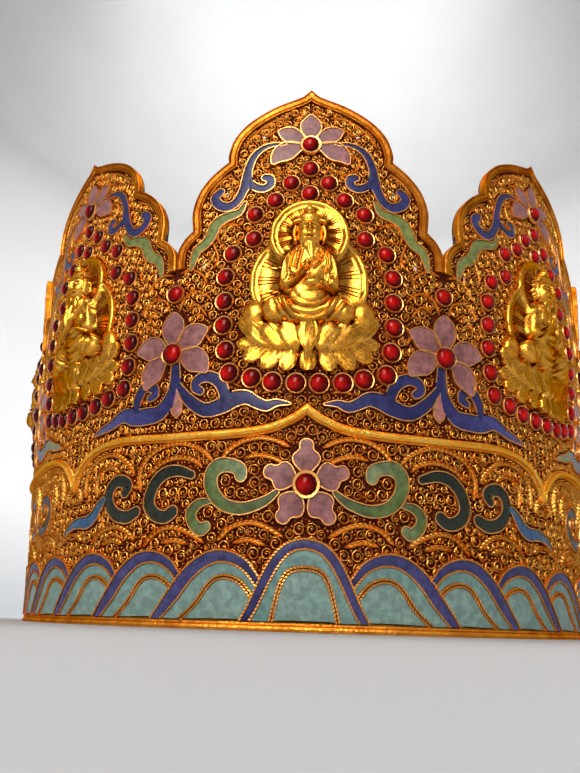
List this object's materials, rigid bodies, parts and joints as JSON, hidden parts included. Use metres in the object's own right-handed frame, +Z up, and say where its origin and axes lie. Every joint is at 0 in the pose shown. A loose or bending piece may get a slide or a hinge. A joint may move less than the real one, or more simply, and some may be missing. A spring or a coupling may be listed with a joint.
{
  "type": "filigree crown",
  "caption": "Tall gilt filigree crown of pointed leaf panels with seated figures above a scrolled enamel band, set with red cabochons.",
  "frame": {"origin": "centre of the rim, on the surface that the crown rests on", "axes": "+Z up, -Y is the front, +X is the wearer's left"},
  "size_m": [0.2404, 0.2484, 0.1369],
  "materials": {
    "filigree_gold": "gilt wire filigree, warm orange gold, dark between the wires",
    "figure_gold": "bright polished gilt relief",
    "wave_enamel": "teal and violet-blue enamel between gilt wires",
    "red_stone": "deep red polished cabochons in gilt bezels",
    "petal_enamel": "matt mauve enamel with a gilt wire edge"
  },
  "bodies": {
    "root": {"band": "filigree_gold", "wave_border": "wave_enamel", "leaf_1": "filigree_gold", "stone_string_1": "red_stone", "figure_1": "figure_gold", "cusp_stone_1": "red_stone", "joint_flower_1": "petal_enamel", "leaf_2": "filigree_gold", "stone_string_2": "red_stone", "figure_2": "figure_gold", "cusp_stone_2": "red_stone", "joint_flower_2": "petal_enamel", "leaf_3": "filigree_gold", "stone_string_3": "red_stone", "figure_3": "figure_gold", "cusp_stone_3": "red_stone", "joint_flower_3": "petal_enamel", "leaf_4": "filigree_gold", "stone_string_4": "red_stone", "figure_4": "figure_gold", "cusp_stone_4": "red_stone", "joint_flower_4": "petal_enamel", "leaf_5": "filigree_gold", "stone_string_5": "red_stone", "figure_5": "figure_gold", "cusp_stone_5": "red_stone", "joint_flower_5": "petal_enamel", "leaf_6": "filigree_gold", "stone_string_6": "red_stone", "figure_6": "figure_gold", "cusp_stone_6": "red_stone", "joint_flower_6": "petal_enamel", "leaf_7": "filigree_gold", "stone_string_7": "red_stone", "figure_7": "figure_gold", "cusp_stone_7": "red_stone", "joint_flower_7": "petal_enamel", "leaf_8": "filigree_gold", "stone_string_8": "red_stone", "figure_8": "figure_gold", "cusp_stone_8": "red_stone", "joint_flower_8": "petal_enamel", "leaf_9": "filigree_gold", "stone_string_9": "red_stone", "figure_9": "figure_gold", "cusp_stone_9": "red_stone", "joint_flower_9": "petal_enamel", "leaf_10": "filigree_gold", "stone_string_10": "red_stone", "figure_10": "figure_gold", "cusp_stone_10": "red_stone", "joint_flower_10": "petal_enamel", "band_flower_1": "petal_enamel", "band_flower_2": "petal_enamel", "band_flower_3": "petal_enamel", "band_flower_4": "petal_enamel", "band_flower_5": "petal_enamel"}
  },
  "joints": []
}
